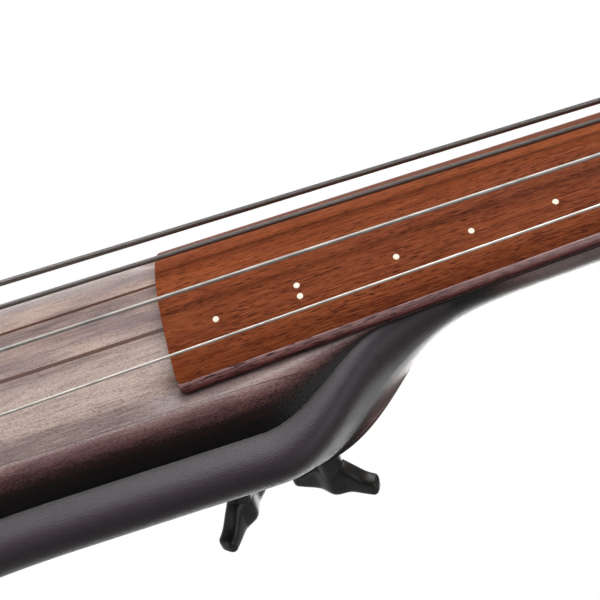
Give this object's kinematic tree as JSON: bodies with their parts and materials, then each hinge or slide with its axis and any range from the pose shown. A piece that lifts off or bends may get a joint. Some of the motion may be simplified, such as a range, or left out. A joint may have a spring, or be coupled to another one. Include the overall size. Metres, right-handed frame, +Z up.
{
  "type": "electric upright bass",
  "caption": "Slim fretless neck-through electric upright bass with carved wings, worm-geared tuners and controls, standing on a folding tripod with a sliding tube.",
  "frame": {"origin": "on the floor, at the middle of the space that the part takes up", "axes": "+Z up along the instrument towards its head, -Y out of its front, +X to its treble side"},
  "size_m": [0.6036, 0.527, 1.8646],
  "materials": {
    "maple": "satin, translucent grey-violet stain darkening to the edges",
    "walnut": "satin",
    "stained_wing": "satin, purple-black stain",
    "fingerboard": "oiled, open-pored red-brown wood",
    "bridge_wood": "satin",
    "ebony": "satin",
    "bone": "polished bone",
    "wound_string": "fine flat winding",
    "steel_string": "bright steel",
    "bare_steel": "brushed",
    "chrome": "polished",
    "brass": "turned",
    "black_plastic": "satin moulded",
    "circuit_green": "lacquered board",
    "battery_case": "plain",
    "black_metal": "fine black powder coat",
    "rubber": "matt"
  },
  "bodies": {
    "stand": {"stand_hub": "black_metal", "outer_tube": "black_metal", "height_collar": "black_plastic", "leg_pin_1": "bare_steel", "leg_pin_2": "bare_steel", "leg_pin_3": "bare_steel"},
    "leg_rear": {"leg_1": "black_metal", "foot_1": "rubber"},
    "leg_bass": {"leg_2": "black_metal", "foot_2": "rubber"},
    "leg_treble": {"leg_3": "black_metal", "foot_3": "rubber"},
    "height_clamp": {"height_screw": "black_plastic"},
    "instrument": {"inner_tube": "bare_steel", "stand_socket": "black_metal", "neck_core": "maple", "neck_side_bass": "maple", "neck_side_treble": "maple", "neck_stripe_bass": "walnut", "neck_stripe_treble": "walnut", "body_wing_bass": "stained_wing", "body_wing_treble": "stained_wing", "fingerboard": "fingerboard", "nut": "bone", "truss_rod": "bare_steel", "truss_rod_cover": "black_plastic", "string_E": "wound_string", "string_A": "wound_string", "string_D": "steel_string", "string_G": "steel_string", "tuner_plate_E": "chrome", "tuner_plate_A": "chrome", "tuner_plate_D": "chrome", "tuner_plate_G": "chrome", "bridge_base": "bridge_wood", "bridge_saddle": "ebony", "pickup_bar": "black_plastic", "height_wheel_bass": "brass", "height_wheel_treble": "brass", "tailpiece": "ebony", "potentiometer_volume": "bare_steel", "potentiometer_tone": "bare_steel", "circuit_board": "circuit_green", "control_cover": "black_plastic", "output_jack": "chrome", "battery_tray": "black_plastic", "battery": "battery_case"},
    "lower_bolt": {"wing_bolt_lower": "black_plastic"},
    "upper_bolt": {"wing_bolt_upper": "black_plastic"},
    "volume": {"knob_volume": "black_plastic"},
    "tone": {"knob_tone": "black_plastic"},
    "battery_lid": {"battery_door": "black_plastic"},
    "post_E": {"string_post_E": "chrome"},
    "post_A": {"string_post_A": "chrome"},
    "post_D": {"string_post_D": "chrome"},
    "post_G": {"string_post_G": "chrome"},
    "key_E": {"tuning_key_E": "chrome"},
    "key_A": {"tuning_key_A": "chrome"},
    "key_D": {"tuning_key_D": "chrome"},
    "key_G": {"tuning_key_G": "chrome"}
  },
  "joints": [
    {"name": "height_slide", "type": "slide", "parent": "stand", "child": "instrument", "axis": [0, 0, 1], "range_m": [0, 0.24]},
    {"name": "leg_rear_fold", "type": "hinge", "parent": "stand", "child": "leg_rear", "pos_m": [0, -0.0415, 0.158], "axis": [-1, 0, 0], "range_deg": [0, 60]},
    {"name": "leg_bass_fold", "type": "hinge", "parent": "stand", "child": "leg_bass", "pos_m": [-0.03551, -0.103, 0.158], "axis": [0.5, -0.866, 0], "range_deg": [0, 60]},
    {"name": "leg_treble_fold", "type": "hinge", "parent": "stand", "child": "leg_treble", "pos_m": [0.03551, -0.103, 0.158], "axis": [0.5, 0.866, 0], "range_deg": [0, 60]},
    {"name": "height_clamp_turn", "type": "hinge", "parent": "stand", "child": "height_clamp", "pos_m": [0, -0.0825, 0.49615], "axis": [0, 1, 0], "range_deg": [0, 90]},
    {"name": "lower_bolt_turn", "type": "hinge", "parent": "instrument", "child": "lower_bolt", "pos_m": [0, -0.0825, 0.9525], "axis": [0, 1, 0], "range_deg": [0, 90]},
    {"name": "upper_bolt_turn", "type": "hinge", "parent": "instrument", "child": "upper_bolt", "pos_m": [0, -0.0825, 1.0035], "axis": [0, 1, 0], "range_deg": [0, 90]},
    {"name": "volume_turn", "type": "hinge", "parent": "instrument", "child": "volume", "pos_m": [0.03, -0.16304, 0.726], "axis": [0.3, -0.9539, 0], "range_deg": [-140, 140]},
    {"name": "tone_turn", "type": "hinge", "parent": "instrument", "child": "tone", "pos_m": [0.03, -0.16304, 0.69], "axis": [0.3, -0.9539, 0], "range_deg": [-140, 140]},
    {"name": "battery_door_swing", "type": "hinge", "parent": "instrument", "child": "battery_lid", "pos_m": [-0.04515, -0.1035, 0.67], "axis": [0, 0, 1], "range_deg": [0, 95]},
    {"name": "key_E_turn", "type": "hinge", "parent": "instrument", "child": "key_E", "pos_m": [-0.024, -0.14107, 1.73083], "axis": [1, 0, 0], "continuous": true},
    {"name": "key_A_turn", "type": "hinge", "parent": "instrument", "child": "key_A", "pos_m": [-0.024, -0.13031, 1.79189], "axis": [1, 0, 0], "continuous": true},
    {"name": "key_D_turn", "type": "hinge", "parent": "instrument", "child": "key_D", "pos_m": [0.024, -0.13031, 1.79189], "axis": [1, 0, 0], "continuous": true},
    {"name": "key_G_turn", "type": "hinge", "parent": "instrument", "child": "key_G", "pos_m": [0.024, -0.14107, 1.73083], "axis": [1, 0, 0], "continuous": true},
    {"name": "post_E_turn", "type": "hinge", "parent": "instrument", "child": "post_E", "pos_m": [-0.024, -0.16633, 1.72178], "axis": [0, -0.9848, 0.1736], "continuous": true},
    {"name": "post_A_turn", "type": "hinge", "parent": "instrument", "child": "post_A", "pos_m": [-0.024, -0.15556, 1.78284], "axis": [0, -0.9848, 0.1736], "continuous": true},
    {"name": "post_D_turn", "type": "hinge", "parent": "instrument", "child": "post_D", "pos_m": [0.024, -0.15556, 1.78284], "axis": [0, -0.9848, 0.1736], "continuous": true},
    {"name": "post_G_turn", "type": "hinge", "parent": "instrument", "child": "post_G", "pos_m": [0.024, -0.16633, 1.72178], "axis": [0, -0.9848, 0.1736], "continuous": true}
  ],
  "couplings": [
    {"joint": "post_E_turn", "follows": "key_E_turn", "ratio": 0.0625},
    {"joint": "post_A_turn", "follows": "key_A_turn", "ratio": 0.0625},
    {"joint": "post_D_turn", "follows": "key_D_turn", "ratio": 0.0625},
    {"joint": "post_G_turn", "follows": "key_G_turn", "ratio": 0.0625}
  ]
}
